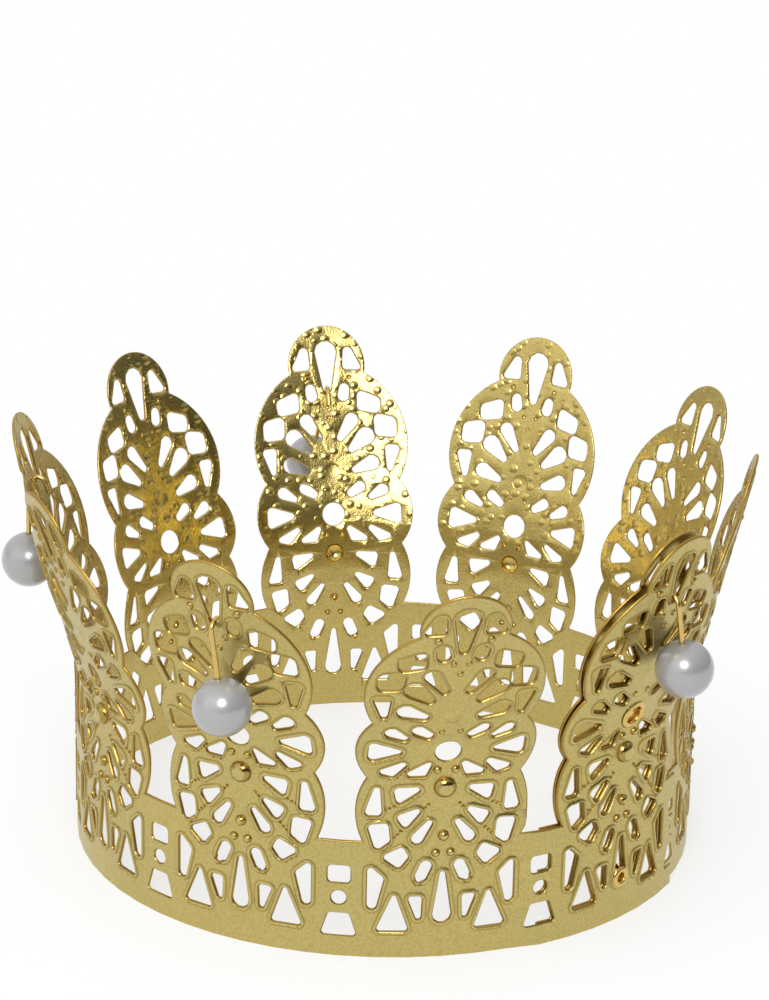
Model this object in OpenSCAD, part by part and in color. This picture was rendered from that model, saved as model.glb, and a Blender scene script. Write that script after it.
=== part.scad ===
// Filigree crown: one pierced strip of gilt sheet metal, rolled into a ring of leaning panels.
// The strip's two end panels overlap at one place, where two eyelets hold them together.
// Four imitation pearls hang on bent wire pins that hook through the panels' tips.
// The ring stands on z = 0 round the Z axis, and the front panel faces -Y.

/* [Ring] */
// Outer diameter of the base ring
base_d = 100; // [90:1:120]
// Thickness of the sheet metal
sheet_t = 0.5; // [0.35:0.05:0.6]
// Height of the strip before it is bent
strip_h = 68; // [62:1:76]
// Height of the plain band along the bottom edge
band_h = 3.4; // [2.5:0.1:5]

/* [Flare] */
// Mean lean of the panels, outwards from upright
lean = 18; // [16:1:22]
// Radius of the bend between the upright wall and the leaning panels
bend_r = 32; // [24:1:40]

/* [Seam] */
// Gap between the two overlapping layers at the base
seam_gap = 0.3; // [0.2:0.05:0.5]
// How much less the inner end panel leans
seam_lean = 1.5; // [1:0.25:2]
// Wall of the eyelets
eyelet_wall = 0.3; // [0.2:0.05:0.4]
// Overhang of the eyelets' flanges round their barrels
eyelet_rim = 0.65; // [0.4:0.05:0.8]
// Thickness of the eyelets' flanges
eyelet_lip = 0.15; // [0.12:0.01:0.18]

/* [Pearls] */
// Diameter of the pearls
pearl_d = 9; // [7:0.25:10]
// Diameter of the pins' wire
wire_d = 0.8; // [0.6:0.05:0.9]
// Length of the tail that each pin has behind its panel
tail_l = 1.6; // [1:0.1:1.8]

/* [Fits] */
// Clearance between a barrel, wire or bore and the hole that it sits in
fit = 0.05; // [0.03:0.01:0.08]
// Clearance between a hook and the edge of the sheet that carries it
hook_clear = 0.28; // [0.25:0.01:0.3]
// Least distance between a hanging pearl and its panel
pearl_gap = 0.5; // [0.4:0.05:0.8]

/* [Hidden] */
panels = 10;
step = 360/panels;
base_r = base_d/2;
half_pitch = base_r*sin(step/2);
pearl_r = pearl_d/2;
wire_r = wire_d/2;
// Each panel was bent by hand, so its lean differs a little from the mean, in degrees
lean_trim = [7, 1, 0, -1, 0, 5, -1, 0, -5, 0];
// Pearls: name, panel, drop from hook to pearl and sideways bend of the pin
PEARLS = [
    ["front_left", 1, 11.7, 9],
    ["left", 3, 12.8, 0],
    ["back", 5, 12.5, 11],
    ["front_right", -1, 10, 8],
];
$fn = 48;

// The ornament is drawn on a reference panel and stretched to the panel's own pitch and height.
// Its points are [x from the middle, height, corner radius], in mm on the reference panel.
ref_half = 15.45;
ref_h = 68;
ref_band = 3.4;
stretch_x = half_pitch/ref_half;
stretch_h = (strip_h - band_h)/(ref_h - ref_band);
stretch_r = min(stretch_x, stretch_h);
function flat_h(h) = h <= ref_band ? h*band_h/ref_band : band_h + (h - ref_band)*stretch_h;

// Lobes of a panel's edge: [x, height, radius], each with its mirror image
lobes = [[0, 61.2, 6.8], [0, 47.8, 13.6], [5.1, 35.5, 8.7], [1.3, 24.2, 12]];
// Round eye in the middle of a panel: height and radius
eye = [35, 1.85];
// Teardrops on the centre line: the upper one carries the hook, the lower one an eyelet
tip_drop = [[0, 63.4, 1.8], [0, 57, 0.6]];
foot_drop = [[0, 7.1, 1.3], [0, 13.8, 0.3]];
// Openings on one side of the centre line, from the tip down
tip_cells = [
    [[3.9, 63.4, 0.7], [3.5, 60.9, 0.5], [5.4, 60.8, 0.5]],
    [[3, 56.9, 0.8], [2.8, 55.7, 0.9]],
];
crest_ring = [
    [[6, 55.6, 0.7], [5.9, 53.8, 0.7], [8.2, 53.5, 0.8], [8.3, 54.6, 0.8]],
    [[8.9, 51.4, 0.9], [8.9, 49.4, 0.8], [10.9, 49.3, 0.8], [10.8, 51, 0.9]],
    [[10.3, 46.4, 0.6], [10.3, 43, 0.4], [11.4, 46.4, 0.6]],
];
crest_petals = [
    [[4, 51.4, 1.1], [1.9, 48.3, 0.5]],
    [[6.4, 48.6, 1.4], [3.8, 46.3, 0.5]],
    [[7.2, 43.9, 1.2], [4.3, 42.7, 0.5]],
];
eye_petals = [
    [[4.9, 39.7, 0.85], [3.3, 38.6, 0.6]],
    [[8.8, 39.2, 0.9], [6.8, 38, 0.4]],
    [[11.1, 36.2, 0.6], [7.5, 35.1, 0.4], [11.1, 34.1, 0.6]],
    [[6.6, 32.5, 0.4], [8.1, 30.8, 0.4], [9.4, 31.2, 0.4]],
    [[2.8, 32.4, 0.4], [3.4, 30.8, 0.4], [5.3, 30.8, 0.4]],
];
fan_petals = [
    [[4.3, 27.9, 0.4], [6.7, 26.3, 0.5], [6.9, 27.6, 0.6]],
    [[4.1, 24.2, 0.35], [5.8, 22.3, 0.5], [6.4, 23.2, 0.5]],
    [[2.2, 22.3, 0.35], [4, 19.8, 0.8]],
];
fan_ring = [
    [[10.2, 27.8, 0.4], [10.1, 24.2, 0.6], [11.1, 24.2, 0.6]],
    [[9, 21.6, 0.6], [8.8, 19.6, 0.6], [9.8, 18.8, 0.6], [10.6, 21.4, 0.6]],
    [[6.4, 17.7, 0.5], [5.9, 16.8, 0.5], [6.8, 15.6, 0.5], [8.3, 16.7, 0.5]],
];
foot_cells = [
    [[2.6, 15.2, 0.8], [3.3, 13.6, 0.8]],
    [[3.6, 9.7, 0.4], [3.6, 6.8, 0.3], [4.6, 9.7, 0.4]],
    [[7.3, 10, 0.25], [5.7, 4.9, 0.4], [9.3, 4.9, 0.4]],
    [[10.8, 14.4, 0.4], [9.6, 13, 0.6], [10.6, 8.8, 0.6]],
];
side_cells = concat(tip_cells, crest_ring, crest_petals, eye_petals, fan_petals, fan_ring, foot_cells);
// Links between the panels: half width, height at the ends and rise of the rounded top
link_half = 2.75*stretch_x;
link_h = flat_h(19.2);
link_rise = 0.4;
// A panel's foot stands this much above the ends of its links
shoulder = 0.2;
// Openings in a link, with x from its middle
link_cells = [
    [[-1.1, 14.4, 0.5], [-1.1, 12.8, 0.5], [1.1, 12.8, 0.5], [1.1, 14.4, 0.5]],
    [[-1.2, 6.6, 0.4], [-2.1, 3.9, 0.4], [2.1, 3.9, 0.4], [1.2, 6.6, 0.4]],
];
link_eye = [9.7, 1];
// Sides of the plain round eyes
eye_sides = 12;
// A link runs into its panels by this much, and lies a hair inside their faces
lap = 0.2;
hair = 0.01;
// The strip's ends are cut through their links at this share of the half width
stub_from = 0.1;
// Angle that the step between the two layers takes up
jog_turn = 1.5;
seam_step = sheet_t + seam_gap;
// Distance that a rounded corner's chords may lie inside it
chord_error = 0.15;
// Flat stretches that make up the bend
bend_flats = 3;
// Half of the angle that a panel's wall is made over, before it is cut to its outline
wall_turn = 20;
// Cuts run past the wall by this much
past = 10;

// Bend: the flat strip's height becomes a distance from the axis and a height
bend_at = flat_h(30.6);
function bend_l(a) = bend_r*a*PI/180;
function bend_start(a) = bend_at - bend_l(a)/2;
function tilt(h, a) = min(a, max(0, (h - bend_start(a))/bend_r*180/PI));
function over(h, a) = max(0, h - bend_start(a) - bend_l(a));
function rise(h, a) = min(h, bend_start(a)) + bend_r*sin(tilt(h, a)) + over(h, a)*cos(a);
function reach(h, a) = bend_r*(1 - cos(tilt(h, a))) + over(h, a)*sin(a);
function lean_of(k) = lean + lean_trim[(k + panels)%panels];

// Panels: the outer end panel is number -1, and the inner end panel is the last one
outer_end = -1;
inner_end = panels - 1;
inner_lean = lean_of(inner_end) - seam_lean;
function wall_r(k) = k < 0 ? base_r + seam_step : base_r;
function wall_lean(k) = k == inner_end ? inner_lean : lean_of(k);

// Point of the ornament on a panel that leans by a
function on_panel(p, a) = [p[0]*stretch_x, rise(flat_h(p[1]), a), p[2]*stretch_r];
// Direction of the outward normal of the line that touches circle p and then circle q
function touch(p, q) =
    let (d = [q[0] - p[0], q[1] - p[1]])
    atan2(d[1], d[0]) - acos((p[2] - q[2])/norm(d));
function chord_turn(r) = 2*acos(1 - min(0.5, chord_error/r));
// Corner of a cell: the points round circle q between its two touching lines
function corner(p, q, s) =
    let (
        t0 = touch(p, q),
        turn = (touch(q, s) - t0 + 720)%360,
        n = max(1, round(turn/chord_turn(q[2])))
    )
    [for (i = [0:n]) [q[0], q[1]] + q[2]*[cos(t0 + turn*i/n), sin(t0 + turn*i/n)]];

// Rounded cell round a list of circles, which run anticlockwise
module cell(circles, a) {
    q = [for (p = circles) on_panel(p, a)];
    n = len(q);
    polygon([for (i = [0:n - 1]) each corner(q[(i + n - 1)%n], q[i], q[(i + 1)%n])]);
}

module both_sides() {
    children();
    mirror([1, 0])
        children();
}

// Widest part of a panel's foot, where it meets the links
foot_turn = step/2 - asin(link_half/base_r);
foot_half = base_r*sin(foot_turn);

module panel_outline(a) {
    for (p = lobes)
        both_sides()
            translate([p[0]*stretch_x, rise(flat_h(p[1]), a)])
                circle(r = p[2]*stretch_r);
    translate([-foot_half, 0])
        square([2*foot_half, link_h + shoulder]);
}

module panel_pattern(a, plain_eye) {
    difference() {
        panel_outline(a);
        cell(tip_drop, a);
        cell(foot_drop, a);
        if (plain_eye)
            translate([0, rise(flat_h(eye[0]), a)])
                circle(r = eye[1]*stretch_r, $fn = eye_sides);
        for (c = side_cells)
            both_sides()
                cell(c, a);
    }
}

module link_pattern(half) {
    top_r = (half*half + link_rise*link_rise)/(2*link_rise);
    difference() {
        intersection() {
            translate([-half, hair])
                square([2*half, link_h + link_rise]);
            translate([0, link_h + link_rise - top_r])
                circle(r = top_r);
        }
        for (c = link_cells)
            cell(c, 0);
        translate([0, flat_h(link_eye[0])])
            circle(r = link_eye[1]*stretch_r, $fn = eye_sides);
    }
}

// Section of the sheet, from the base up through the bend to past the tip
module wall_section(r, a) {
    turns = [for (i = [0:bend_flats]) i*a/bend_flats];
    mid = [r + bend_r, bend_start(a)];
    up = [sin(a), cos(a)]*strip_h;
    face = [for (t = turns) mid + bend_r*[-cos(t), sin(t)]];
    back = [for (i = [bend_flats:-1:0]) mid + (bend_r + sheet_t)*[-cos(turns[i]), sin(turns[i])]];
    polygon(concat([[r, 0]], face, [face[bend_flats] + up, back[0] + up], back, [[r - sheet_t, 0]]));
}

module at_panel(k) {
    rotate([0, 0, -step*k])
        children();
}

// Radial prism of a flat drawing, through the front wall
module radial_cut(h) {
    translate([0, -base_r/2, 0])
        rotate([90, 0, 0])
            linear_extrude(height = h)
                children();
}

module panel(k) {
    a = wall_lean(k);
    at_end = k == outer_end || k == inner_end;
    at_panel(k)
        intersection() {
            rotate([0, 0, -90 - wall_turn])
                rotate_extrude(angle = 2*wall_turn)
                    wall_section(wall_r(k), a);
            radial_cut(base_r*2)
                panel_pattern(a, !at_end);
        }
}

// Link beside panel k, towards panel k + 1, in the layer of radius r, between two shares of its half width
module link(k, r, from = -1, to = 1) {
    half = link_half + lap;
    at_panel(k + 0.5)
        intersection() {
            difference() {
                cylinder(r = r - hair, h = link_h + link_rise);
                translate([0, 0, -past])
                    cylinder(r = r - sheet_t + hair, h = link_h + 2*past);
            }
            radial_cut(base_r)
                intersection() {
                    link_pattern(half);
                    translate([from*half, 0])
                        square([(to - from)*half, link_h + past]);
                }
        }
}

// Seam: a step in the front panel's edge leads out to the outer layer
step_turn = foot_turn - jog_turn;
module jog() {
    turn0 = step_turn - asin(lap/base_r);
    translate([0, 0, hair])
        linear_extrude(height = link_h)
            polygon([
                (base_r - sheet_t + hair)*[sin(turn0), -cos(turn0)],
                (base_r - hair)*[sin(turn0), -cos(turn0)],
                (base_r + seam_step)*[sin(foot_turn), -cos(foot_turn)],
                (base_r + seam_gap)*[sin(foot_turn), -cos(foot_turn)],
            ]);
}
module jog_room() {
    x = base_r*sin(step_turn);
    translate([x, -base_r*2, -past])
        cube([base_r, base_r*2, past + link_h + 2*shoulder]);
}

// Frame with +X outwards through panel k, +Y to the right as seen from outside
module outwards(k) {
    rotate([0, 0, -90 - step*k])
        children();
}

// Upper eyelet: square to the outer layer at its eye
eye_h = flat_h(eye[0]);
eye_lean = lean_of(outer_end);
eye_tilt = tilt(eye_h, eye_lean);
module at_eye() {
    outwards(outer_end)
        translate([wall_r(outer_end) + reach(eye_h, eye_lean), 0, rise(eye_h, eye_lean)])
            rotate([0, 90 + eye_tilt, 0])
                children();
}
// Lower eyelet: through the round end of the lower teardrop
foot_h = flat_h(foot_drop[0][1]);
module at_foot() {
    outwards(outer_end)
        translate([wall_r(outer_end), 0, foot_h])
            rotate([0, 90, 0])
                children();
}

module crown_strip() {
    color("goldenrod") {
        difference() {
            union() {
                panel(outer_end);
                panel(inner_end);
            }
            at_eye()
                translate([0, 0, -past])
                    cylinder(r = eye[1]*stretch_r, h = 2*past);
        }
        difference() {
            panel(0);
            jog_room();
        }
        for (k = [1:inner_end - 1])
            panel(k);
        for (k = [0:inner_end - 1])
            link(k, base_r);
        link(outer_end, base_r + seam_step);
        link(outer_end, base_r, stub_from, 1);
        link(outer_end - 1, base_r + seam_step, -1, -stub_from);
        jog();
    }
}

// Eyelet with its axis along +Z: z = 0 is the outer face of the sheet, and lift the gap under its flange
module eyelet(r, grip, lift) {
    bore = r - eyelet_wall;
    rim = r + eyelet_rim;
    rotate_extrude() {
        translate([bore, -grip - eyelet_lip])
            square([eyelet_wall, grip + lift + 2*eyelet_lip]);
        translate([bore, lift])
            square([rim - bore, eyelet_lip]);
        translate([bore, -grip - eyelet_lip])
            square([rim - bore, eyelet_lip]);
    }
}
// The inner layer leans less, so it has drawn away from the outer one at the eye
eye_gap = reach(eye_h, eye_lean) - reach(eye_h, inner_lean);
// The bent sheet comes up to the edges of the upper flanges by less than this
eye_bow = pow(eye[1]*stretch_r + eyelet_rim, 2)/bend_r;
module eyelet_upper() {
    color("gold")
        at_eye()
            eyelet(eye[1]*stretch_r - fit, 2*sheet_t + seam_gap + eye_gap + eye_bow, eye_bow);
}
module eyelet_lower() {
    color("gold")
        at_foot()
            eyelet(foot_drop[0][2]*stretch_r - chord_error - fit, 2*sheet_t + seam_gap + fit, fit);
}

// Pins: each hooks over the lower edge of its panel's upper teardrop
drop_foot = flat_h(tip_drop[1][1]) - tip_drop[1][2]*stretch_r;
hook_play = 0.85;
// The wire swells by this much where it is bent
swell = 0.03;
// At the seam the hook goes through both layers, which have drawn apart there
tip_gap = seam_gap + reach(drop_foot, lean_of(outer_end)) - reach(drop_foot, inner_lean);
function stack(k) = k < 0 ? 2*sheet_t + tip_gap*cos(lean_of(k)) : sheet_t;
function back_lean(k) = k < 0 ? inner_lean : lean_of(k);
function hook_r(k) = stack(k)/2 + wire_r + hook_play;
function stack_half(k) = stack(k)/2/cos(lean_of(k));
function hook_drop(k) = sqrt(pow(hook_r(k) - wire_r - hook_clear, 2) - pow(stack_half(k), 2));
// Middle of the hook, as a distance from the axis and a height
function hook_mid(k) = [
    wall_r(k) + reach(drop_foot, lean_of(k)) - stack_half(k),
    rise(drop_foot, back_lean(k)) - hook_drop(k),
];
// Distance from the panel's face to the middle of a pearl that hangs plumb
function plumb(k, l) =
    let (a = lean_of(k))
    (hook_r(k) - stack_half(k) + (l + rise(drop_foot, a) - hook_mid(k)[1])*tan(a))*cos(a);
// Outward slope that keeps the pearl off its panel
function slope(k, l) =
    let (a = lean_of(k))
    asin(max(0, pearl_r + pearl_gap - plumb(k, l))/(l*cos(a) - hook_r(k)*sin(a)));

module at_hook(k) {
    outwards(k)
        translate([hook_mid(k)[0], 0, hook_mid(k)[1]])
            children();
}
// Frame at the top of a pin's leg, with the leg along -Z
module at_leg(p) {
    t = slope(p[1], p[2]);
    at_hook(p[1])
        translate(hook_r(p[1])*[cos(t), 0, sin(t)])
            rotate([p[3], -t, 0])
                children();
}

module pin(p) {
    k = p[1];
    r = hook_r(k);
    a = back_lean(k);
    t = slope(k, p[2]);
    color("goldenrod") {
        at_hook(k) {
            rotate([90, 0, 0])
                rotate_extrude(angle = 180 - a - t, start = t)
                    translate([r, 0])
                        circle(r = wire_r);
            translate(r*[-cos(a), 0, sin(a)])
                rotate([0, 180 + a, 0]) {
                    sphere(r = wire_r + swell);
                    cylinder(r = wire_r, h = tail_l);
                }
        }
        at_leg(p) {
            sphere(r = wire_r + swell);
            translate([0, 0, -p[2]])
                cylinder(r = wire_r, h = p[2]);
        }
    }
}

module pearl(p) {
    color("ghostwhite")
        at_leg(p)
            translate([0, 0, -p[2]])
                difference() {
                    sphere(r = pearl_r);
                    translate([0, 0, -fit])
                        cylinder(r = wire_r + fit, h = pearl_d);
                }
}

crown_strip();
eyelet_upper();
eyelet_lower();
for (p = PEARLS) {
    pearl(p);
    pin(p);
}
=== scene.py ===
# %% [markdown]
# # A filigree crown with hanging pearls
# The real crown is one strip of thin gilt sheet metal. It was stamped with domes and rows of beads,
# pierced into filigree, rolled into a ring and riveted to itself with two eyelets. Four imitation
# pearls hang from its panels on wire hooks. This lesson makes it in the same order: one flat panel is
# stamped and pierced, copied into a strip, and rolled. The measured solids load first, as a fixed
# frame that every new piece is placed in.

# %% Frame
import math
import bmesh
import bpy
import numpy as np
from mathutils import Matrix, Vector
from mathutils.geometry import convex_hull_2d


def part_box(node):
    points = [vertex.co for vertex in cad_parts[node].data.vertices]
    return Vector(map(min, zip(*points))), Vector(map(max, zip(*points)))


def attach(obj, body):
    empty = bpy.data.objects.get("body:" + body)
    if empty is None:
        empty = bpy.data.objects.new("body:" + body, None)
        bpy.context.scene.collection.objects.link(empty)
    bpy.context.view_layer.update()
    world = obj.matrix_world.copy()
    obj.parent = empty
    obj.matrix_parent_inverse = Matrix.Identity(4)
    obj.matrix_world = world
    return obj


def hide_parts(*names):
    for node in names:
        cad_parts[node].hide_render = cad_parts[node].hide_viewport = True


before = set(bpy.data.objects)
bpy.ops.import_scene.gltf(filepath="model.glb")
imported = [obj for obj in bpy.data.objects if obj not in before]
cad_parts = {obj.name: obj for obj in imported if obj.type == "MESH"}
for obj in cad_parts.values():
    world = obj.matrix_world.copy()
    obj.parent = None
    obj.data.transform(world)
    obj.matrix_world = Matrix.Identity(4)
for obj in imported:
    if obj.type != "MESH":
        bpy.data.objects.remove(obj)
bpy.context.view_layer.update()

# %% [markdown]
# ## Small helpers
# An operator works on everything that is selected, so each step first says what it works on. These
# helpers select, join and cut, as a modeller does with the mouse.


# %% Helpers
def pick(*objects):
    """Selects only these objects and makes the first one active."""
    bpy.ops.object.select_all(action="DESELECT")
    for obj in objects:
        obj.select_set(True)
    bpy.context.view_layer.objects.active = objects[0]
    return objects[0]


def settled(name, *objects):
    """Joins the objects into one and puts its place, turn and scale into the mesh."""
    obj = pick(*objects)
    if len(objects) > 1:
        bpy.ops.object.join()
    bpy.ops.object.transform_apply(location=True, rotation=True, scale=True)
    obj.name = name
    return obj


def edit(obj, *steps):
    """Runs the steps in edit mode, each on the whole mesh."""
    pick(obj)
    bpy.ops.object.mode_set(mode="EDIT")
    for step in steps:
        bpy.ops.mesh.select_all(action="SELECT")
        step()
    bpy.ops.object.mode_set(mode="OBJECT")
    return obj


def apply(obj, kind, **settings):
    """Adds a modifier, sets it and applies it."""
    pick(obj)
    modifier = obj.modifiers.new(kind.title(), kind)
    for key, value in settings.items():
        setattr(modifier, key, value)
    bpy.ops.object.modifier_apply(modifier=modifier.name)
    return obj


def cut(obj, tool, operation, own_overlaps=False):
    """Adds the tool to the object, or cuts it out, and removes the tool."""
    apply(obj, "BOOLEAN", operation=operation, object=tool, solver="EXACT", use_self=own_overlaps)
    bpy.data.objects.remove(tool)
    return obj


def measured(obj):
    """Triangles and open edges of a mesh: a closed one has no open edge."""
    bm = bmesh.new()
    bm.from_mesh(obj.data)
    triangles = sum(len(f.verts) - 2 for f in bm.faces)
    open_edges = sum(not e.is_manifold for e in bm.edges)
    bm.free()
    return f"{obj.name}: {triangles} triangles, {open_edges} open edges"


print("helpers ready")

# %% [markdown]
# ## The camera
# Camera and ring were fitted to the photo together: a long lens, a little above the crown and a little
# to the left of its front panel. A camera could be aimed by a Track To constraint, but a fitted one has
# its own turn, so its three angles are given. It is made first, so that every piece can be checked in
# the same view.

# %% Camera
CAMERA_PLACE = (-0.1029, -0.5460, 0.2556)
CAMERA_LENS, CAMERA_SENSOR = 133.18, 36
HEADING, PITCH, ROLL = -10.605, -19.77, 1.13
bpy.ops.object.select_all(action="DESELECT")
bpy.ops.object.camera_add(location=CAMERA_PLACE)
camera = bpy.context.object
turns = [
    Matrix.Rotation(math.radians(HEADING), 4, "Z"),
    Matrix.Rotation(math.radians(90 + PITCH), 4, "X"),
    Matrix.Rotation(math.radians(ROLL), 4, "Z"),
]
camera.matrix_world = Matrix.Translation(CAMERA_PLACE) @ turns[0] @ turns[1] @ turns[2]
camera.data.lens = CAMERA_LENS
camera.data.sensor_width = CAMERA_SENSOR
camera.data.clip_start = 0.01
bpy.context.scene.camera = camera
print("camera at", [round(v, 3) for v in camera.location])

# %% [markdown]
# ## One flat panel: its outline
# Each panel's edge is a row of round lobes above a straight foot, and the foot runs on into half a
# link on either side. The panel is drawn lying flat, in millimetres, with its outer face up. It could
# be traced as one curve, but overlapping discs give true round lobes with little work.

# %% Panel outline
SHEET_T = 0.5
BASE_R = 50.0
STEP = 36.0
HALF_PITCH = BASE_R * math.sin(math.radians(STEP / 2))
LINK_H = 19.2
# Place, height, radius and number of corners of each lobe
LOBES = [(0, 61.2, 6.8, 48), (0, 47.8, 13.6, 60), (5.1, 35.5, 8.7, 48), (1.3, 24.2, 12.0, 60)]


def sides_of(x):
    """A thing off the centre line has a mirror image; one on it stands alone."""
    return (1, -1) if x else (1,)


def disc(x, h, r, corners):
    bpy.ops.mesh.primitive_cylinder_add(
        vertices=corners, radius=r, depth=SHEET_T, location=(x, h, -SHEET_T / 2))
    return bpy.context.object


bpy.ops.mesh.primitive_cube_add(
    size=1, location=(0, LINK_H / 2, -SHEET_T / 2), scale=(2 * HALF_PITCH, LINK_H, SHEET_T))
panel = settled("panel", bpy.context.object)
lobes = [disc(s * x, h, r, n) for x, h, r, n in LOBES for s in sides_of(x)]
cut(panel, settled("lobes", *lobes), "UNION", own_overlaps=True)
edit(panel, lambda: bpy.ops.mesh.dissolve_limited(angle_limit=math.radians(1)))
print("outline,", measured(panel))

# %% [markdown]
# ## The soft outer rim
# Stamped and plated metal has no razor edges, so the rim of the outline is rounded. A bevel does it
# while the panel is still simple. Only edges between a flat face and the cut wall get it, and none at
# the two ends, where the next panel carries on.

# %% Outer rim
OUTER_RIM, INNER_RIM = 0.27, 0.12
AT_END = HALF_PITCH - 1e-4


def soften(obj, side, width, segments):
    """Bevels the rim of the outer face, side 1, or of the inner face, side -1."""
    bm = bmesh.new()
    bm.from_mesh(obj.data)
    layers = bm.edges.layers.float
    weight = layers.get("bevel_weight_edge") or layers.new("bevel_weight_edge")
    for edge in bm.edges:
        slopes = sorted((side * f.normal.z for f in edge.link_faces), key=abs)
        at_end = all(abs(v.co.x) > AT_END for v in edge.verts)
        is_rim = len(slopes) == 2 and abs(slopes[0]) < 0.1 and slopes[1] > 0.95
        edge[weight] = 1.0 if is_rim and not at_end else 0.0
    bm.to_mesh(obj.data)
    bm.free()
    apply(obj, "BEVEL", limit_method="WEIGHT", width=width, segments=segments, use_clamp_overlap=False)


soften(panel, 1, OUTER_RIM, 2)
soften(panel, -1, INNER_RIM, 1)
print("with a soft rim,", measured(panel))

# %% [markdown]
# ## The openings
# Every opening is the hull of one to four small circles, given as place and corner radius. Drawn
# curves could give the same outlines, but circles keep the corners round, and they are few numbers to
# set right against the photo. The same lists drive the cords, which frame the openings, and the bead
# rows, which follow their lower edges.

# %% Openings as circles
CENTRE_CELLS = [[(0, 63.4, 1.8), (0, 57, 0.6)], [(0, 7.1, 1.3), (0, 13.8, 0.3)], [(0, 35, 1.85)]]
TIP_CELLS = [
    [(3.9, 63.4, 0.7), (3.5, 60.9, 0.5), (5.4, 60.8, 0.5)],
    [(3, 56.9, 0.8), (2.8, 55.7, 0.9)],
]
CREST_CELLS = [
    [(6, 55.6, 0.7), (5.9, 53.8, 0.7), (8.2, 53.5, 0.8), (8.3, 54.6, 0.8)],
    [(8.9, 51.4, 0.9), (8.9, 49.4, 0.8), (10.9, 49.3, 0.8), (10.8, 51, 0.9)],
    [(10.3, 46.4, 0.6), (10.3, 43, 0.4), (11.4, 46.4, 0.6)],
    [(4, 51.4, 1.1), (1.9, 48.3, 0.5)],
    [(6.4, 48.6, 1.4), (3.8, 46.3, 0.5)],
    [(7.2, 43.9, 1.2), (4.3, 42.7, 0.5)],
    [(4.9, 39.7, 0.85), (3.3, 38.6, 0.6)],
    [(8.8, 39.2, 0.9), (6.8, 38, 0.4)],
]
FAN_CELLS = [
    [(11.1, 36.2, 0.6), (7.5, 35.1, 0.4), (11.1, 34.1, 0.6)],
    [(6.6, 32.5, 0.4), (8.1, 30.8, 0.4), (9.4, 31.2, 0.4)],
    [(2.8, 32.4, 0.4), (3.4, 30.8, 0.4), (5.3, 30.8, 0.4)],
    [(4.3, 27.9, 0.4), (6.7, 26.3, 0.5), (6.9, 27.6, 0.6)],
    [(4.1, 24.2, 0.35), (5.8, 22.3, 0.5), (6.4, 23.2, 0.5)],
    [(2.2, 22.3, 0.35), (4, 19.8, 0.8)],
    [(10.2, 27.8, 0.4), (10.1, 24.2, 0.6), (11.1, 24.2, 0.6)],
    [(9, 21.6, 0.6), (8.8, 19.6, 0.6), (9.8, 18.8, 0.6), (10.6, 21.4, 0.6)],
    [(6.4, 17.7, 0.5), (5.9, 16.8, 0.5), (6.8, 15.6, 0.5), (8.3, 16.7, 0.5)],
    [(7.3, 10, 0.25), (5.7, 4.9, 0.4), (9.3, 4.9, 0.4)],
]
FOOT_CELLS = [
    [(2.6, 15.2, 0.8), (3.3, 13.6, 0.8)],
    [(3.6, 9.7, 0.4), (3.6, 6.8, 0.3), (4.6, 9.7, 0.4)],
    [(10.8, 14.4, 0.4), (9.6, 13, 0.6), (10.6, 8.8, 0.6)],
]
LINK_CELLS = [
    [(-1.1, 14.4, 0.5), (-1.1, 12.8, 0.5), (1.1, 12.8, 0.5), (1.1, 14.4, 0.5)],
    [(-1.2, 6.6, 0.4), (-2.1, 3.9, 0.4), (2.1, 3.9, 0.4), (1.2, 6.6, 0.4)],
    [(0, 9.7, 1.0)],
]
SIDE_CELLS = TIP_CELLS + CREST_CELLS + FAN_CELLS + FOOT_CELLS
print("openings on one panel:", len(CENTRE_CELLS) + 2 * len(SIDE_CELLS))

# %% [markdown]
# ## Skins round the openings
# Cords and cutters both follow the outlines of the openings, so one helper makes both. A skin has one
# ring of corners for each level of a profile. Its outline is the tightest line round the opening's
# circles, and every corner moves along its own spoke as the ring widens. An extruded curve would keep
# one width all the way, but these have to widen and narrow. Skins that overlap can't go into one
# boolean cut, so the openings are sorted into groups that lie apart.


# %% Skins round openings
def skin(bm, circles, profile):
    """Adds one closed skin round the circles, ring by ring along the profile of (wider, level)."""
    corners = 24 if len(circles) == 1 else 10
    turns = [math.tau * i / corners for i in range(corners)]
    spokes = [(c, Vector((math.cos(a), math.sin(a)))) for c in circles for a in turns]
    outline = convex_hull_2d([Vector(c[:2]) + c[2] * spoke for c, spoke in spokes])
    rings = []
    for wider, level in profile:
        ring = []
        for c, spoke in [spokes[i] for i in outline]:
            ring.append(bm.verts.new((*(Vector(c[:2]) + (c[2] + wider) * spoke), level)))
        rings.append(ring)
    for low, high in zip(rings, rings[1:]):
        for i in range(len(low)):
            bm.faces.new((low[i - 1], low[i], high[i], high[i - 1]))
    bm.faces.new(rings[0][::-1])
    bm.faces.new(rings[-1])


def skins(name, group, profile_of):
    """Makes one object of the skins round a group of openings."""
    bm = bmesh.new()
    for circles in group:
        skin(bm, circles, profile_of(circles))
    bmesh.ops.recalc_face_normals(bm, faces=bm.faces)
    mesh = bpy.data.meshes.new(name)
    bm.to_mesh(mesh)
    bm.free()
    obj = bpy.data.objects.new(name, mesh)
    bpy.context.collection.objects.link(obj)
    return obj


def trail(circles):
    """Circles along the outline of an opening, a tenth of an edge apart."""
    edges = zip(circles, circles[1:] + circles[:1])
    steps = np.arange(0, 1, 0.1)
    return np.array([np.array(p) + (np.array(q) - p) * t for p, q in edges for t in steps])


def gap(a, b):
    """Least distance between two openings, measured between circles along their outlines."""
    a, b = trail(a)[:, None], trail(b)[None]
    between = np.hypot(a[..., 0] - b[..., 0], a[..., 1] - b[..., 1])
    return float(np.min(between - a[..., 2] - b[..., 2]))


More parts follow.
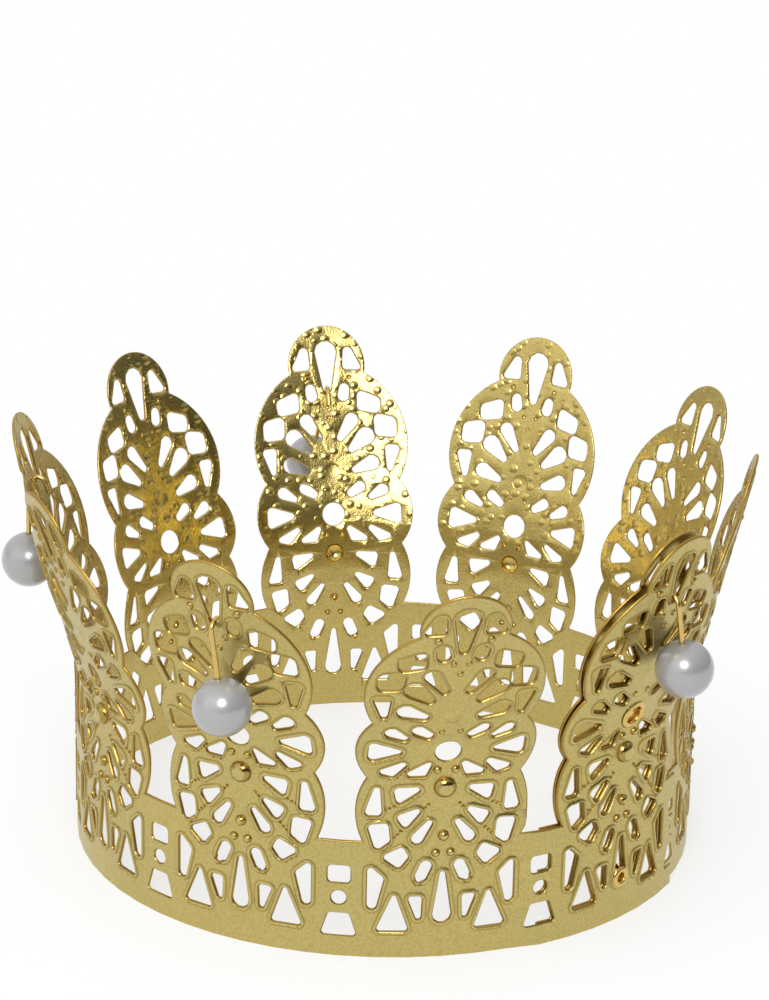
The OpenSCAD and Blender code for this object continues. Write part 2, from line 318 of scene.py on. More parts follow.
def grouped(openings, apart):
    """Sorts openings into groups in which no two are closer than this."""
    groups = []
    for circles in openings:
        free = [g for g in groups if all(gap(circles, other) > apart for other in g)]
        if free:
            free[0].append(circles)
        else:
            groups.append([circles])
    return groups


def mirrored(circles):
    return [(-x, h, r) for x, h, r in circles]


ribs = [gap(*pair) for pair in zip(FAN_CELLS, FAN_CELLS[1:])]
print("least rib between two fan openings:", round(min(ribs), 2), "mm")

# %% [markdown]
# ## Raised cords round the openings
# On the real sheet nearly every opening is framed by a fine raised cord, with a groove where two cords
# lie side by side. A cord could be a thin tube laid along the rim. A low plate with sloping sides is
# simpler: its middle is pierced out later, and what is left of it is the cord.

# %% Cords
CORD, CORD_SLOPE = 0.2, 0.26
CORD_LEAST, CORD_MOST = 0.55, 1.0
CORD_LAP = 0.04
framed = CENTRE_CELLS[:2] + SIDE_CELLS + [mirrored(c) for c in SIDE_CELLS]


def cord_profile(circles):
    """A cord reaches half-way to the next opening, within its least and greatest width."""
    reach = CORD_LAP + min(gap(circles, other) for other in framed if other != circles) / 2
    reach = min(max(reach, CORD_LEAST), CORD_MOST)
    return [(reach, -SHEET_T / 2), (reach, -0.02), (reach - CORD_SLOPE, CORD)]


for group in grouped(framed, 2 * CORD_MOST + 0.1):
    cut(panel, skins("cords", group, cord_profile), "UNION")
    print("cords round", len(group), "openings,", measured(panel))

# %% [markdown]
# ## Stamped domes
# The stamp pushed domes out of the sheet, so each one is hollow behind. The large domes sit in the
# middles of the two fans and small ones round them. They could be pulled up from the sheet's own
# faces, but a flat panel has no corners there to pull. So each dome is half a ball set on the sheet,
# and a slightly smaller ball cuts the dent behind it.

# %% Domes and dents
# Place, height, radius and rise of each dome
DOMES = [
    (0, 28.3, 1.8, 1.15), (0, 42.6, 1.7, 0.15), (0, 20.2, 0.95, 0.75), (1.35, 31.5, 0.7, 0.55),
    (1.15, 17.4, 0.75, 0.6), (1.15, 54.0, 0.6, 0.3), (0, 51.9, 0.6, 0.3), (1.4, 39.4, 0.6, 0.25),
    (3.9, 58.9, 0.7, 0.4), (3.8, 12.8, 0.85, 0.65),
]
DOME_SUNK = 0.1
DENT_LESS = 0.2


def ball(x, h, n, r, height):
    segments, rings = (16, 10) if r > 1 else (8, 6)
    bpy.ops.mesh.primitive_uv_sphere_add(
        segments=segments, ring_count=rings, radius=1, location=(x, h, n), scale=(r, r, height))
    return bpy.context.object


domes = settled("domes", *[
    ball(s * x, h, -DOME_SUNK, r, rise + DOME_SUNK) for x, h, r, rise in DOMES for s in sides_of(x)])
edit(domes, lambda: bpy.ops.mesh.bisect(
    plane_co=(0, 0, -0.6 * SHEET_T), plane_no=(0, 0, 1), use_fill=True, clear_inner=True))
cut(panel, domes, "UNION")
dents = settled("dents", *[
    ball(s * x, h, -SHEET_T, r - DENT_LESS, rise) for x, h, r, rise in DOMES for s in sides_of(x)])
cut(panel, dents, "DIFFERENCE")
print("domes:", sum(len(sides_of(d[0])) for d in DOMES), measured(panel))

# %% [markdown]
# ## Bead rows
# Rows of tiny beads follow the lower edges of the openings, and two longer rows cross each side of the
# lower fan. They could be a bump in the finish, but a bump has no height when it is seen from the
# side. A blunt six-sided cone is enough for a bead that is less than a millimetre wide. Beads that
# would overlap are left out.

# %% Bead rows
BEAD_R, BEAD_FLAT, BEAD_DEEP = 0.36, 0.12, 0.4
BEAD_OFF, BEAD_EVERY, BEAD_TOP = 0.55, 0.75, 0.3
FACES_DOWN = -0.55
LONG_ROWS = [((4.1, 26.9), (9.6, 24.1)), ((2.4, 25.4), (8.0, 19.4))]
SHORT_ROWS = FAN_CELLS[:3] + FAN_CELLS[5:]


def touch(p, q):
    """Direction of the outward normal of the line that touches circle p and then circle q."""
    run, climb = q[0] - p[0], q[1] - p[1]
    return math.atan2(climb, run) - math.acos((p[2] - q[2]) / math.hypot(run, climb))


def bead_row(start, end):
    """Evenly spaced places from start to end."""
    count = max(1, round((end - start).length / BEAD_EVERY))
    return [start.lerp(end, i / count) for i in range(count + 1)]


def beads_below(circles):
    """Places of the beads along the edges of an opening that face down."""
    places = []
    for p, q in zip(circles, circles[1:] + circles[:1]):
        a = touch(p, q)
        if math.sin(a) <= FACES_DOWN:
            out = Vector((math.cos(a), math.sin(a)))
            start = Vector(p[:2]) + (p[2] + BEAD_OFF) * out
            end = Vector(q[:2]) + (q[2] + BEAD_OFF) * out
            places += bead_row(start, end)
    return places


rows = [b for circles in SHORT_ROWS for b in beads_below(circles)]
rows += [b for start, end in LONG_ROWS for b in bead_row(Vector(start), Vector(end))]
spots = []
for spot in [Vector((s * b.x, b.y)) for b in rows for s in (1, -1)]:
    if all((spot - other).length > 2 * BEAD_R for other in spots):
        spots.append(spot)
beads = []
for x, h in spots:
    bpy.ops.mesh.primitive_cone_add(
        vertices=6, radius1=BEAD_R, radius2=BEAD_FLAT, depth=BEAD_DEEP,
        location=(x, h, BEAD_TOP - BEAD_DEEP / 2))
    beads.append(bpy.context.object)
print("beads on one panel:", len(beads))
cut(panel, settled("beads", *beads), "UNION")
print("beaded,", measured(panel))

# %% [markdown]
# ## Piercing the panel
# No opening has a sharp rim. A bevel after the cut would fail where two openings lie close together,
# so the roundness is in the cutters: each one is a trumpet that opens towards both faces. The round
# eye and the half openings at the two ends have no cord, and are cut with a lower trumpet.


# %% Piercing
def rim_profile(rise):
    """The trumpet's profile, for an opening whose rim stands this high."""
    return [
        (0.42, -4.0), (0.42, -0.54), (0.12, -0.30),
        (0.12, rise - 0.2), (0.30, rise + 0.02), (0.30, 4.0),
    ]


CUT_APART = 0.7
across_link = math.cos(math.radians(STEP / 2))
plain = CENTRE_CELLS[2:]
for circles in LINK_CELLS:
    for s in (1, -1):
        plain.append([(s * (HALF_PITCH + x * across_link), h, r) for x, h, r in circles])
for openings, rise in ((framed, CORD), (plain, 0.0)):
    for group in grouped(openings, CUT_APART):
        cut(panel, skins("cutters", group, lambda circles: rim_profile(rise)), "DIFFERENCE")
        print("pierced", len(group), "openings,", measured(panel))

# %% [markdown]
# ## Marks for the finish
# The finish needs to know what each face of the sheet is: outer face, sloping side of a cord, cut edge
# or inner face. The shader could read the normal, but on a rolled strip that no longer tells them
# apart. So it is marked while the panel is flat, in an attribute that stays with the mesh.

# %% Marks
FLAT_ON, EDGE_ON = 0.93, 0.5
OUTER_MARK, SLOPE_MARK, EDGE_MARK, INNER_MARK = 1.0, 0.5, 0.0, -1.0
normals = np.empty(len(panel.data.polygons) * 3)
panel.data.polygons.foreach_get("normal", normals)
facing = normals.reshape(-1, 3)[:, 2]
marks = np.select(
    [facing > FLAT_ON, facing > EDGE_ON, facing > -EDGE_ON],
    [OUTER_MARK, SLOPE_MARK, EDGE_MARK], INNER_MARK)
layer = panel.data.attributes.new("layer", "FLOAT", "FACE")
layer.data.foreach_set("value", marks)
print("marks: layer on", len(facing), "faces")

# %% [markdown]
# ## Lines for the bend
# A large flat face can't follow a curve, so the panel first gets lines of new edges, across the roll
# and across the bend. Loop cuts would need an even grid of faces. Bisecting works on any mesh, and the
# faces are then split into triangles, which can't warp.

# %% Lines for the bend
ROLL_LINES = 5
BEND_FROM, BEND_TO, BEND_LINES = 23.0, 39.0, 7


def score(across, place):
    """Cuts a line of new edges through the mesh, square to an axis."""
    bpy.ops.mesh.bisect(plane_co=Vector(across) * place, plane_no=across)


lines = []
for i in range(ROLL_LINES):
    lines.append(((1, 0, 0), HALF_PITCH * (2 * (i + 1) / (ROLL_LINES + 1) - 1)))
for i in range(BEND_LINES):
    lines.append(((0, 1, 0), BEND_FROM + (BEND_TO - BEND_FROM) * i / (BEND_LINES - 1)))
edit(panel, *[lambda line=line: score(*line) for line in lines])
edit(panel, lambda: bpy.ops.mesh.quads_convert_to_tris(ngon_method="BEAUTY"))
print("scored,", measured(panel))

# %% [markdown]
# ## Rolling the strip
# Eleven copies of the panel make the strip, and the strip is rolled round the ring while each panel
# is bent outwards by its own lean. Bend modifiers could roll it, but the bend here has two directions
# and a lean that changes from panel to panel, so each copy's vertices are moved by the formula of the
# measured frame. Before that, each vertex keeps its flat place in an attribute, for the finish. The
# two end panels share one place: the outer one lies a step further out.

# %% Roll
LEAN, BEND_R, BEND_AT = 18.0, 32.0, 30.6
LEAN_TRIM = [7, 1, 0, -1, 0, 5, -1, 0, -5, 0]
SEAM_LEAN, SEAM_STEP = 1.5, 0.8
# The front panel's edge steps out to the outer layer between these angles, and below these heights
STEP_TURN, STEP_TOP = (13.35, 14.85), (19.7, 24.0)
OUTER_END, INNER_END = -1, 9
MM = 0.001
WELD = 2e-6


def lean_of(k):
    return LEAN + LEAN_TRIM[k % 10]


def bent(h, lean):
    """Tilt, reach outwards and height of the strip's point at height h."""
    a = math.radians(lean)
    start = BEND_AT - BEND_R * a / 2
    tilt = np.clip((h - start) / BEND_R, 0, a)
    over = np.maximum(0, h - start - BEND_R * a)
    reach = BEND_R * (1 - np.cos(tilt)) + over * math.sin(a)
    rise = np.minimum(h, start) + BEND_R * np.sin(tilt) + over * math.cos(a)
    return tilt, reach, rise


def ease(value, low, high):
    t = np.clip((value - low) / (high - low), 0, 1)
    return t * t * (3 - 2 * t)


def places_of(obj):
    places = np.empty(len(obj.data.vertices) * 3)
    obj.data.vertices.foreach_get("co", places)
    return places


def roll(obj, k):
    """Rolls a flat panel to place k of the ring, in metres."""
    x, h, n = places_of(obj).reshape(-1, 3).T
    tilt, reach, rise = bent(h, lean_of(k) - (SEAM_LEAN if k == INNER_END else 0))
    turn = np.arcsin(np.clip(x / (BASE_R + reach), -1, 1))
    out = np.full(len(x), SEAM_STEP if k == OUTER_END else 0.0)
    if k == 0:
        out = SEAM_STEP * ease(np.degrees(turn), *STEP_TURN) * (1 - ease(h, *STEP_TOP))
    r = BASE_R + reach + out + n * np.cos(tilt)
    azimuth = turn - math.radians(STEP * k)
    rolled = [r * np.sin(azimuth), -r * np.cos(azimuth), rise - n * np.sin(tilt)]
    obj.data.vertices.foreach_set("co", (np.stack(rolled, axis=1) * MM).ravel())
    obj.data.update()


def open_ends(obj, sides):
    """Removes the end faces where this panel meets its neighbours."""
    bm = bmesh.new()
    bm.from_mesh(obj.data)
    ends = [
        f for f in bm.faces
        if any(all(s * v.co.x > AT_END for v in f.verts) for s in sides)
    ]
    bmesh.ops.delete(bm, geom=ends, context="FACES")
    bm.to_mesh(obj.data)
    bm.free()


def weld_joints():
    bpy.ops.mesh.select_all(action="DESELECT")
    bpy.ops.mesh.select_non_manifold()
    bpy.ops.mesh.remove_doubles(threshold=WELD)


flat = panel.data.attributes.new("flat", "FLOAT_VECTOR", "POINT")
flat.data.foreach_set("vector", places_of(panel))
copies = []
for k in range(OUTER_END, INNER_END + 1):
    copy = panel.copy()
    copy.data = panel.data.copy()
    bpy.context.collection.objects.link(copy)
    open_ends(copy, [s for s in (1, -1) if (k, s) not in ((OUTER_END, 1), (INNER_END, -1))])
    roll(copy, k)
    copies.append(copy)
bpy.data.objects.remove(panel)
strip = settled("gilt_strip", *copies)
edit(strip, weld_joints, lambda: bpy.ops.mesh.normals_make_consistent(inside=False))
print("strip:", len(strip.data.polygons), "faces")

# %% [markdown]
# ## Shading the strip
# The roll is made of flat facets. More of them would make it rounder but heavier, and smooth shading
# hides them for nothing. Edges sharper than a limit stay crisp, and weighted normals keep the thin
# rims from bending the shading of the broad faces beside them.

# %% Strip shading and place
SHARP = math.radians(50)
pick(strip)
bpy.ops.object.shade_smooth_by_angle(angle=SHARP)
apply(strip, "WEIGHTED_NORMAL", keep_sharp=True)
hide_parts("crown_strip")
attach(strip, "crown")
print(measured(strip))

# %% [markdown]
# ## Where the hooks sit
# Each pin hooks over the lower edge of the opening in its panel's tip, and swings about the middle of
# the hook. That place could be read from the measured solids' boxes, but a box hides the slope of the
# leg. So it is worked out from the same values as the measured frame: the sheet's lean, the play in
# the hook and the gap between pearl and panel. At the seam the hook goes through both layers.

# %% Hook geometry
WIRE_R, TAIL_L, HOOK_PLAY, HOOK_CLEAR = 0.4, 1.6, 0.85, 0.28
PEARL_R, PEARL_GAP, SEAM_GAP = 4.5, 0.5, 0.3
DROP_FOOT = CENTRE_CELLS[0][1][1] - CENTRE_CELLS[0][1][2]
# Panel, drop from hook to pearl, and sideways bend of the pin in degrees
PEARLS = {
    "front_left": (1, 11.7, 9),
    "left": (3, 12.8, 0),
    "back": (5, 12.5, 11),
    "front_right": (OUTER_END, 10.0, 8),
}


def hook(k, drop):
    """Radius of the hook, its middle as distance and height, lean behind it, and slope of the leg."""
    lean, back = lean_of(k), lean_of(k) - (SEAM_LEAN if k == OUTER_END else 0)
    a = math.radians(lean)
    _, reach, rise = map(float, bent(DROP_FOOT, lean))
    _, back_reach, back_rise = map(float, bent(DROP_FOOT, back))
    stack = SHEET_T if k >= 0 else 2 * SHEET_T + (SEAM_GAP + reach - back_reach) * math.cos(a)
    half = stack / 2 / math.cos(a)
    r = stack / 2 + WIRE_R + HOOK_PLAY
    low = back_rise - math.sqrt((r - WIRE_R - HOOK_CLEAR) ** 2 - half**2)
    out = BASE_R + (SEAM_STEP if k == OUTER_END else 0) + reach - half
    plumb = (r - half + (drop + rise - low) * math.tan(a)) * math.cos(a)
    slope = math.asin(max(0, PEARL_R + PEARL_GAP - plumb) / (drop * math.cos(a) - r * math.sin(a)))
    return r, Vector((out, 0, low)), math.radians(back), slope


def at_place(k, away):
    """Turns a piece that was made with +X outwards and puts it at panel k, in metres."""
    turn = Matrix.Rotation(math.radians(-90 - STEP * k), 4, "Z")
    return Matrix.Scale(MM, 4) @ turn @ Matrix.Translation(away)


for name, (k, drop, _) in PEARLS.items():
    print("hook of the pin", name, [round(v, 2) for v in hook(k, drop)[1]])

# %% [markdown]
# ## Hooked pins
# A pin is soft wire with a hook at its top: a short tail behind the panel, half a turn over the edge of
# the opening, and a straight leg down into the pearl. A curve with a round bevel could make it too. It
# is made as by hand: a round section is extruded along the tail, spun round the hook and extruded
# along the leg.


# %% Pins
def pin(name, k, drop, aside):
    """Makes a pin, and gives it with its place, the middle of its pearl and the line of its leg."""
    r, middle, a, slope = hook(k, drop)
    up = Vector((math.sin(a), 0, math.cos(a)))
    start = r * Vector((-math.cos(a), 0, math.sin(a))) - TAIL_L * up
    side = math.radians(aside)
    leg = Vector((math.sin(slope) * math.cos(side), math.sin(side), -math.cos(slope) * math.cos(side)))
    bpy.ops.object.select_all(action="DESELECT")
    bpy.ops.mesh.primitive_circle_add(
        vertices=20, radius=WIRE_R, fill_type="NGON", location=start, rotation=(0, a, 0))
    wire = settled("wire_pin_" + name, bpy.context.object)
    bpy.ops.object.mode_set(mode="EDIT")
    bpy.ops.mesh.select_all(action="SELECT")
    bpy.ops.mesh.extrude_region_move(TRANSFORM_OT_translate={"value": TAIL_L * up})
    bpy.ops.mesh.spin(steps=18, angle=math.pi - a - slope, center=(0, 0, 0), axis=(0, -1, 0))
    bpy.ops.mesh.extrude_region_move(TRANSFORM_OT_translate={"value": drop * leg})
    bpy.ops.mesh.select_all(action="SELECT")
    bpy.ops.mesh.remove_doubles(threshold=1e-4)
    bpy.ops.mesh.normals_make_consistent(inside=False)
    bpy.ops.object.mode_set(mode="OBJECT")
    bpy.ops.object.shade_smooth_by_angle(angle=SHARP)
    wire.matrix_world = at_place(k, middle)
    settled("wire_pin_" + name, wire)
    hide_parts("pin_" + name)
    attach(wire, "drop_" + name)
    pearl_middle = r * Vector((math.cos(slope), 0, math.sin(slope))) + drop * leg
    return wire, at_place(k, middle), pearl_middle, leg


pins = {name: pin(name, *values) for name, values in PEARLS.items()}
print("pins:", len(pins))

# %% [markdown]
# ## Pearls
# An imitation pearl is a smooth ball with a drilled hole that the pin is glued into. The measured
# ball has flat facets, so a finer one takes its place: a UV sphere whose pole points up the pin's leg,
# with the faces round the pole pushed in as the mouth of the drilled hole.

# %% Pearls
HOLE_R, HOLE_DEEP = 0.5, 0.35


def pearl(name):
    _, place, middle, leg = pins[name]
    bpy.ops.object.select_all(action="DESELECT")
    bpy.ops.mesh.primitive_uv_sphere_add(segments=56, ring_count=40, radius=PEARL_R)
    made = bpy.context.object
    bm = bmesh.new()
    bm.from_mesh(made.data)
    for v in bm.verts:
        if v.co.z > 0 and math.hypot(v.co.x, v.co.y) < HOLE_R:
            v.co.z -= HOLE_DEEP
    bm.to_mesh(made.data)
    bm.free()
    bpy.ops.object.shade_smooth()
    up_the_leg = (-leg).to_track_quat("Z", "Y").to_matrix().to_4x4()
    made.matrix_world = place @ Matrix.Translation(middle) @ up_the_leg
    settled("pearl_ball_" + name, made)
    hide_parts("pearl_" + name)
    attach(made, "drop_" + name)
    low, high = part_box("pearl_" + name)
    off = (Vector(low) + Vector(high)) / 2 - place @ middle
    print(name, "pearl is", round(off.length / MM, 3), "mm from the middle of its solid's box")
    return made


pearls = [pearl(name) for name in PEARLS]

# %% [markdown]
# ## Eyelets
# An eyelet is a short tube whose ends are rolled over into rings that clamp the two layers. A screw
# modifier could turn its profile. Here one ring of edges is extruded and resized along the profile, and
# the last ring is bridged to the first. The lower eyelet's head stands on the raised cord.

# %% Eyelets
EYELET_WALL, EYELET_RIM = 0.3, 0.65
FIT, FOOT_PLAY = 0.05, 0.15


def eyelet(name, r, grip, lift, place):
    """Makes an eyelet round the barrel radius r, with a head that stands off by lift."""
    bore, rim = r - EYELET_WALL, r + EYELET_RIM
    head = [
        (bore, 0.1), (bore + 0.07, 0.24), (bore + 0.22, 0.33), ((bore + rim) / 2, 0.35),
        (rim - 0.2, 0.27), (rim - 0.05, 0.15), (rim, 0.06), (rim - 0.1, 0.04), (r, 0.04),
    ]
    foot = [(r, 0.0), (rim - 0.1, 0.0), (rim, -0.06), (rim - 0.2, -0.15), (bore, -0.15)]
    profile = [(ring, level + lift) for ring, level in head]
    profile += [(ring, level - grip) for ring, level in foot]
    bpy.ops.object.select_all(action="DESELECT")
    bpy.ops.mesh.primitive_circle_add(
        vertices=40, radius=profile[0][0], location=(0, 0, profile[0][1]))
    tube = settled(name, bpy.context.object)
    bpy.ops.object.mode_set(mode="EDIT")
    bpy.ops.mesh.select_all(action="SELECT")
    for (r0, z0), (r1, z1) in zip(profile, profile[1:]):
        bpy.ops.mesh.extrude_edges_move(TRANSFORM_OT_translate={"value": (0, 0, z1 - z0)})
        bpy.ops.transform.resize(value=(r1 / r0, r1 / r0, 1))
    bpy.ops.mesh.select_all(action="DESELECT")
    bpy.ops.mesh.select_mode(type="EDGE")
    bpy.ops.mesh.select_non_manifold()
    bpy.ops.mesh.bridge_edge_loops()
    bpy.ops.mesh.select_all(action="SELECT")
    bpy.ops.mesh.normals_make_consistent(inside=False)
    bpy.ops.object.mode_set(mode="OBJECT")
    bpy.ops.object.shade_smooth_by_angle(angle=math.radians(60))
    tube.matrix_world = place
    settled(name, tube)
    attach(tube, "crown")
    return tube


def on_outer_layer(h):
    tilt, reach, rise = map(float, bent(h, lean_of(OUTER_END)))
    square = Matrix.Rotation(math.pi / 2 + tilt, 4, "Y")
    return at_place(OUTER_END, Vector((BASE_R + SEAM_STEP + reach, 0, rise))) @ square


eye_h, eye_r = CENTRE_CELLS[2][0][1:]
foot_h, foot_r = CENTRE_CELLS[1][0][1:]
outer_lean = lean_of(OUTER_END)
apart = float(bent(eye_h, outer_lean)[1] - bent(eye_h, outer_lean - SEAM_LEAN)[1])
two_layers = 2 * SHEET_T + SEAM_GAP + FIT
upper = eyelet("eyelet_tube_upper", eye_r - FIT, two_layers + apart, 0.0, on_outer_layer(eye_h))
lower = eyelet("eyelet_tube_lower", foot_r - FOOT_PLAY - FIT, two_layers, CORD, on_outer_layer(foot_h))
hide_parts("eyelet_upper")
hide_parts("eyelet_lower")
for made in (upper, lower):
    print(made.name, "at", [round(v, 4) for v in made.bound_box[0]])

# %% [markdown]
# ## Finishes
# Every finish is a small net of shader nodes. Written as Python sums, the nets stay readable: one
# class wraps a socket so that + and * add Math nodes, and one method adds any other node.


# %% Shader helper
class Value:
    """One socket of a finish. Sums of values add Math nodes to the finish."""

    def __init__(self, finish, socket):
        self.finish = finish
        self.socket = socket

    def math(self, operation, a, b):
        return self.finish.node("Math", {"operation": operation}, {0: a, 1: b})

    def __add__(self, other):
        return self.math("ADD", self, other)

    def __radd__(self, other):
        return self.math("ADD", other, self)

    def __sub__(self, other):
        return self.math("SUBTRACT", self, other)

    def __rsub__(self, other):
        return self.math("SUBTRACT", other, self)

    def __mul__(self, other):
        return self.math("MULTIPLY", self, other)

    def __rmul__(self, other):
        return self.math("MULTIPLY", other, self)

    def clamp(self, low, high):
        return self.math("MINIMUM", self.math("MAXIMUM", self, low), high)


class Net:
    """A net of shader nodes, of a material or of the room, to which nodes are added one by one."""

    def __init__(self, tree):
        self.tree = tree

    def node(self, kind, settings=None, inputs=None, output=0):
        made = self.tree.nodes.new("ShaderNode" + kind)
        for key, value in (settings or {}).items():
            setattr(made, key, value)
        self.feed(made, inputs or {})
        return Value(self, made.outputs[output])

    def feed(self, made, inputs):
        for key, value in inputs.items():
            socket = made.inputs[key]
            if isinstance(value, Value):
                self.tree.links.new(value.socket, socket)
            else:
                socket.default_value = value

    def place(self):
        return self.node("TexCoord", output="Object")

    def noise(self, grain_mm, detail=2.0):
        settings = {"Vector": self.place(), "Scale": 1000 / grain_mm, "Detail": detail}
        return self.node("TexNoise", {}, settings)

    def mix(self, factor, a, b):
        a, b = [(*tone, 1) if isinstance(tone, tuple) else tone for tone in (a, b)]
        return self.node("Mix", {"data_type": "RGBA"}, {0: factor, 6: a, 7: b}, 2)

    def bump(self, height, strength, distance_mm):
        settings = {"Height": height, "Strength": strength, "Distance": distance_mm * MM}
        return self.node("Bump", {}, settings)


class Finish(Net):
    """A material with its net of nodes and its main shader."""

    def __init__(self, name):
        self.material = bpy.data.materials.new(name)
        self.material.use_nodes = True
        super().__init__(self.material.node_tree)
        self.shader = self.tree.nodes["Principled BSDF"]

    def set(self, **inputs):
        self.feed(self.shader, {key.replace("_", " "): value for key, value in inputs.items()})


print("shader helper ready")

# %% [markdown]
# ## Gilt sheet
# The outer face is satin and finely mottled, a pale olive brass. The inner face is shinier, with small
# dents that glint, and its gold is a little browner as painted shade of the inside of the ring. The cut
# edges are a darker orange-brown, painted shade on the walls of the openings, the sloping sides of the
# cords, domes and beads get a darker tone as painted shade, and high spots are rubbed bright. Separate
# materials could give these, but one finish that reads the marks keeps the same mottle running across
# all of them.

# %% Gilt sheet
# The edge tone is painted shade on the cut walls. The inner tone is the gold made a little browner, as
# painted shade of the inside of the ring
OUTER_GOLD, INNER_SHADED_GOLD, EDGE_SHADE_GOLD = (0.55, 0.455, 0.17), (0.54, 0.43, 0.15), (0.42, 0.22, 0.035)
# The slope tone is painted shade on the sloping sides of cords, domes and beads. The warm and dull
# tones are random drifts in the gold
SLOPE_SHADE_GOLD, WARM_GOLD, DULL_GOLD = (0.26, 0.18, 0.04), (0.68, 0.50, 0.16), (0.36, 0.27, 0.06)
MOTTLE_MM, DRIFT_MM, DENT_MM = 0.38, 14.0, 2.1
DENTS_FROM = 30.0


def gilt_sheet():
    f = Finish("gilt_sheet")
    side = f.node("Attribute", {"attribute_name": "layer"}, output="Fac")
    flat = f.node("Attribute", {"attribute_name": "flat"}, output="Vector")
    up_strip = f.node("SeparateXYZ", {}, {0: flat}, 1)
    raised = f.node("SeparateXYZ", {}, {0: flat}, 2)
    mottle = f.noise(MOTTLE_MM, 4.0)
    drift = f.noise(DRIFT_MM)
    spread = {"Vector": f.place(), "Scale": 1000 / DENT_MM, "Randomness": 0.8}
    specks = f.node("TexVoronoi", {}, spread, "Distance")
    on_panels = ((up_strip - DENTS_FROM) * 0.15).clamp(0.0, 1.0)
    dents = (1.0 - 7.0 * specks * specks).clamp(0.0, 1.0) * on_panels
    outer = (side * 4.0).clamp(0.0, 1.0)
    inner = (side * -4.0).clamp(0.0, 1.0)
    sloped = ((side - 0.25) * 8.0).clamp(0.0, 1.0) * ((0.75 - side) * 8.0).clamp(0.0, 1.0)
    shine = ((raised - 0.2) * 6.0).clamp(0.0, 1.0)
    # Cut edges get the darker orange-brown edge tone: painted shade on the walls of the openings
    tone = f.mix(outer, EDGE_SHADE_GOLD, OUTER_GOLD)
    # The inner face gets a slightly browner copy of the gold: painted shade of the inside of the ring
    tone = f.mix(inner, tone, INNER_SHADED_GOLD)
    # Sloping faces of cords, domes and beads get a darker tone: painted shade
    tone = f.mix(sloped * 0.7, tone, SLOPE_SHADE_GOLD)
    tone = f.mix((drift - 0.35) * 0.5, tone, WARM_GOLD)
    tone = f.mix(((mottle - 0.42) * 1.8).clamp(0.0, 0.4), tone, DULL_GOLD)
    f.set(Base_Color=tone, Metallic=1.0)
    f.set(Roughness=0.34 - 0.22 * shine - 0.12 * inner + 0.2 * (mottle - 0.5))
    f.set(Normal=f.bump(2.0 * mottle + 10.0 * dents * inner, 0.5, 0.03))
    return f.material


strip.data.materials.clear()
strip.data.materials.append(gilt_sheet())
print("gilt sheet on the strip")

# %% [markdown]
# ## Polished wire and eyelets
# Pins and eyelets are bright, smoother and yellower than the sheet, with faint drawing marks. They
# could share the sheet's finish, but that one is satin and reads marks that they don't have.

# %% Gilt wire
WIRE_GOLD, WIRE_BROWN = (0.70, 0.50, 0.16), (0.50, 0.32, 0.07)


def gilt_wire():
    f = Finish("gilt_wire")
    streaks = f.noise(0.3)
    tone = f.mix((streaks - 0.35) * 0.6, WIRE_GOLD, WIRE_BROWN)
    f.set(Base_Color=tone, Metallic=1.0, Roughness=0.16 + 0.12 * streaks)
    f.set(Normal=f.bump(streaks, 0.2, 0.02))
    return f.material


polished = gilt_wire()
for obj in [made[0] for made in pins.values()] + [upper, lower]:
    obj.data.materials.append(polished)
print("gilt wire on pins and eyelets")

# %% [markdown]
# ## Pearl lacquer
# The pearls are plastic under a pearly lacquer: grey-white, a broad soft shine below and a sharp
# clear coat above, with very faint warm and cool drifts in the colour. A thin-film layer would be
# closer to real nacre, but the lacquer in the photo is nearly colourless.

# %% Pearl lacquer
PEARL_WARM, PEARL_COOL = (0.37, 0.36, 0.35), (0.34, 0.345, 0.355)


def pearl_lacquer():
    f = Finish("pearl_lacquer")
    drift = f.noise(6.0)
    grain = f.noise(0.6)
    tone = f.mix(drift, PEARL_WARM, PEARL_COOL)
    f.set(Base_Color=tone, Metallic=0.3, Roughness=0.28 + 0.08 * grain)
    f.set(Coat_Weight=0.8 + 0.2 * drift, Coat_Roughness=0.06)
    f.set(Normal=f.bump(grain, 0.06, 0.02))
    return f.material


lacquer = pearl_lacquer()
for obj in pearls:
    obj.data.materials.append(lacquer)
print("lacquer on", len(pearls), "pearls")

# %% [markdown]
# ## The floor
# The crown stands on a plain white sheet. More lamp light could make it white, but that would bleach
# the gold. So the sheet itself glows for the camera and for reflections, a little less close to the
# crown, and all other light meets an ordinary pale floor that keeps the shadow.

# %% Floor
GLOW_NEAR, GLOW_FROM, GLOW_RISE = 0.6, 0.045, 6.0


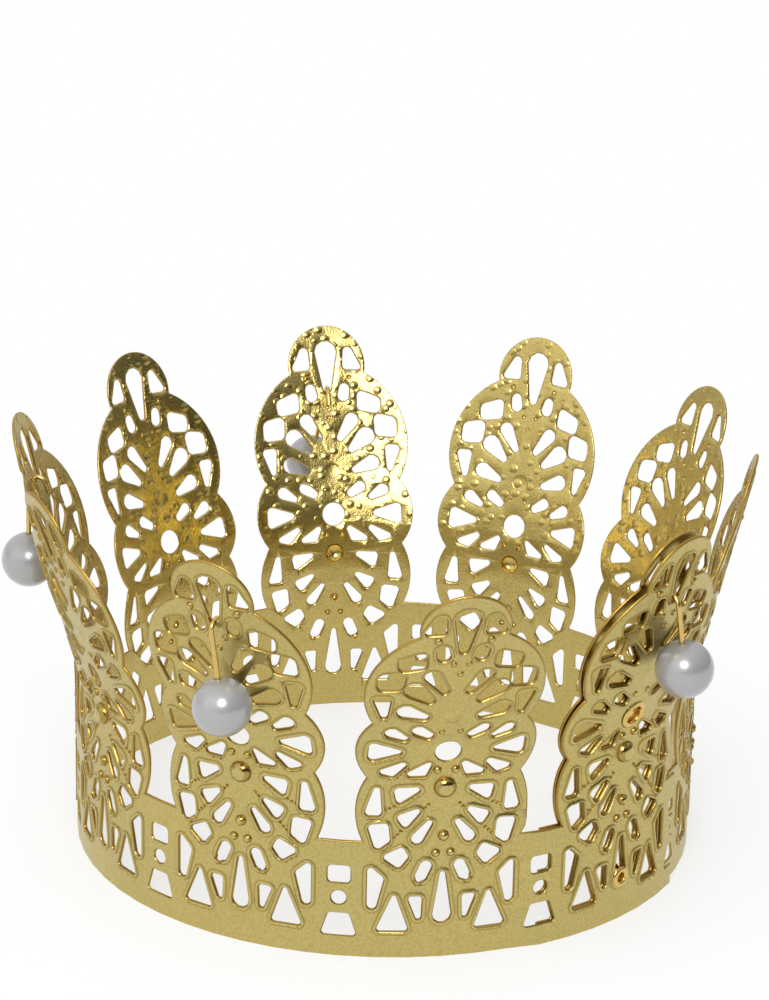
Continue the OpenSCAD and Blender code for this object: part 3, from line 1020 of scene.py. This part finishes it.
def white_sheet():
    f = Finish("white_sheet")
    by_camera, by_gloss, through = [
        f.node("LightPath", output=f"Is {kind} Ray") for kind in ("Camera", "Glossy", "Transmission")]
    seen = (by_camera + by_gloss + through).clamp(0.0, 1.0)
    f.set(Base_Color=(0.92, 0.92, 0.92, 1), Roughness=0.9)
    glow = f.node("Emission", {}, {"Color": (1, 1, 1, 1), "Strength": 1.0})
    away = f.node("VectorMath", {"operation": "LENGTH"}, {0: f.place()}, "Value")
    white = (GLOW_NEAR + GLOW_RISE * (away - GLOW_FROM)).clamp(GLOW_NEAR, 1.0)
    pale = Value(f, f.shader.outputs[0])
    both = f.node("MixShader", {}, {0: seen * white, 1: pale, 2: glow})
    f.tree.links.new(both.socket, f.tree.nodes["Material Output"].inputs["Surface"])
    return f.material


bpy.ops.object.select_all(action="DESELECT")
bpy.ops.mesh.primitive_plane_add(size=12, location=(0, 0, 0))
floor = bpy.context.object
floor.name = "floor"
floor.data.materials.append(white_sheet())
print("floor ready")

# %% [markdown]
# ## Lamp and room
# One soft lamp stands near the camera and a little higher, as the bright backs of the far panels show.
# The room gives the rest: bright above, dim in front, and a window's glow from the left. More lamps
# could do that, but each would show as a spot in the polished metal.

# %% Lamp and room
LAMP_PLACE, LAMP_AIM = Vector((-0.11, -0.54, 0.43)), Vector((0, 0, 0.03))
LAMP_SIZE, LAMP_POWER = 0.34, 2.4
ROOM_LIGHT_FROM = (-0.15, 0.40, 0.90)
WINDOW_FROM = (-0.82, -0.50, 0.27)
bpy.ops.object.light_add(type="AREA", location=LAMP_PLACE)
lamp = bpy.context.object
lamp.data.shape = "DISK"
lamp.data.size = LAMP_SIZE
lamp.data.energy = LAMP_POWER
lamp.rotation_euler = (LAMP_AIM - LAMP_PLACE).to_track_quat("-Z", "Y").to_euler()
world = bpy.data.worlds.new("room")
bpy.context.scene.world = world
world.use_nodes = True
room = Net(world.node_tree)
view = room.node("TexCoord", output="Generated")
towards_light, towards_window = [
    room.node("VectorMath", {"operation": "DOT_PRODUCT"}, {0: view, 1: source}, "Value")
    for source in (ROOM_LIGHT_FROM, WINDOW_FROM)
]
window = ((towards_window - 0.72) * 3.5).clamp(0.0, 0.8)
room_light = (towards_light + 0.22).clamp(0.05, 1.0) + window
by_camera = room.node("LightPath", output="Is Camera Ray")
level = by_camera + (1 - by_camera) * room_light
room.feed(room.tree.nodes["Background"], {"Color": (1, 1, 1, 1), "Strength": level})
bpy.context.scene.view_settings.view_transform = "Standard"
print("lamp and room ready")
